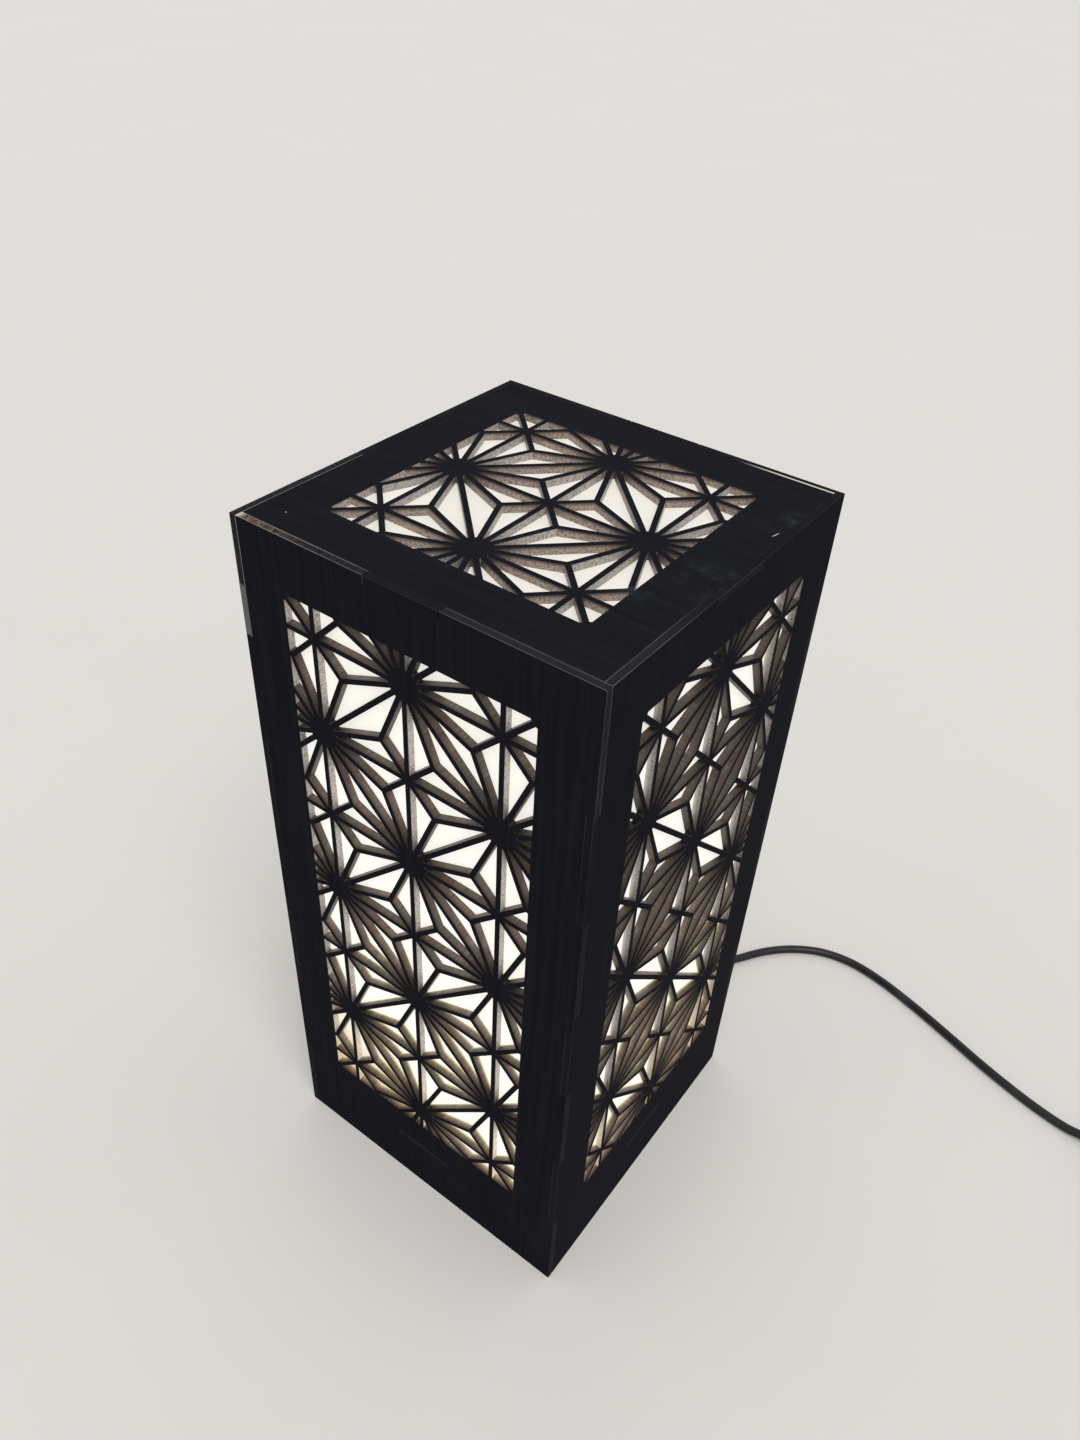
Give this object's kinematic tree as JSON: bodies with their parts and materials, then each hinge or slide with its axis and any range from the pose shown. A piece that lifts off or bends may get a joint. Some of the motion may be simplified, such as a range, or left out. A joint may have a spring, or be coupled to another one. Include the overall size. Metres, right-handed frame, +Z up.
{
  "type": "shoji table lamp",
  "caption": "Tall square box lamp of dark interlocking boards, cut through with a star lattice over white diffusers, with a lift-out top, screw-in bulb, and a cord with rocker switch and plug.",
  "frame": {"origin": "centre of the lamp's footprint on the surface it stands on", "axes": "+Z up along the lamp's height, +X to the right seen from the front panel, +Y to the back panel that the cord leaves"},
  "size_m": [0.5725, 0.344, 0.45],
  "materials": {
    "board": "near-black stained fibreboard with a faint grain, satin; cut edges brown",
    "diffuser": "white translucent sheet, matt, lit from behind",
    "holder_plastic": "white moulded thermoplastic",
    "brass": "pressed brass strip",
    "zinc_steel": "zinc-plated steel",
    "cap_metal": "drawn aluminium, bright",
    "insulator": "black glassy insulator",
    "bulb_plastic": "white moulded plastic",
    "led_board": "aluminium board with white solder mask",
    "led_chip": "yellow phosphor chips",
    "bulb_globe": "opal diffusing plastic, lit",
    "cord": "black PVC sheath, slightly glossy",
    "wire": "PVC core insulation, brown and blue",
    "black_plastic": "black moulded plastic",
    "black_rubber": "soft black moulding",
    "rocker_plastic": "black moulded rocker",
    "tie_plastic": "black strap",
    "pin_metal": "nickel-plated brass"
  },
  "bodies": {
    "lamp": {"side_panel_front": "board", "side_panel_right": "board", "side_panel_back": "board", "side_panel_left": "board", "base_plate": "board", "diffuser_front": "diffuser", "diffuser_right": "diffuser", "diffuser_back": "diffuser", "diffuser_left": "diffuser", "holder_base": "holder_plastic", "holder_shell": "holder_plastic", "holder_thread": "brass", "holder_contact": "brass", "terminal_screws": "zinc_steel", "holder_screws": "zinc_steel", "holder_nuts": "zinc_steel", "cord_gland": "black_plastic", "gland_nut": "black_plastic", "inner_flex": "cord", "core_wires": "wire", "strain_relief": "black_rubber", "cord_lead": "cord", "switch_base": "black_plastic", "switch_cover": "black_plastic", "switch_contacts": "brass", "switch_screws": "zinc_steel", "cord_link": "cord", "cord_coil": "cord", "cord_tie": "tie_plastic", "cord_tail": "cord", "plug_boot": "black_rubber", "plug_body": "black_plastic", "plug_sleeves": "black_plastic", "plug_pins": "pin_metal"},
    "lid": {"top_panel": "board", "diffuser_top": "diffuser"},
    "bulb_seat": {"bulb_contact": "cap_metal"},
    "bulb": {"bulb_insulator": "insulator", "bulb_cap": "cap_metal", "bulb_housing": "bulb_plastic", "led_board": "led_board", "led_chips": "led_chip", "bulb_globe": "bulb_globe"},
    "rocker": {"switch_rocker": "rocker_plastic"}
  },
  "joints": [
    {"name": "lid_lift", "type": "slide", "parent": "lamp", "child": "lid", "axis": [0, 0, 1], "range_m": [0, 0.06]},
    {"name": "bulb_rise", "type": "slide", "parent": "lamp", "child": "bulb_seat", "axis": [0, 0, 1], "range_m": [0, 0.0165]},
    {"name": "bulb_turn", "type": "hinge", "parent": "bulb_seat", "child": "bulb", "pos_m": [0, 0, 0.0607], "axis": [0, 0, 1], "range_deg": [0, 1620]},
    {"name": "rocker_tilt", "type": "hinge", "parent": "lamp", "child": "rocker", "pos_m": [0.383, 0.2, 0.0116], "axis": [0, 1, 0], "range_deg": [0, 16]}
  ],
  "couplings": [
    {"joint": "bulb_rise", "follows": "bulb_turn", "m_per_rad": 0.00057757}
  ]
}
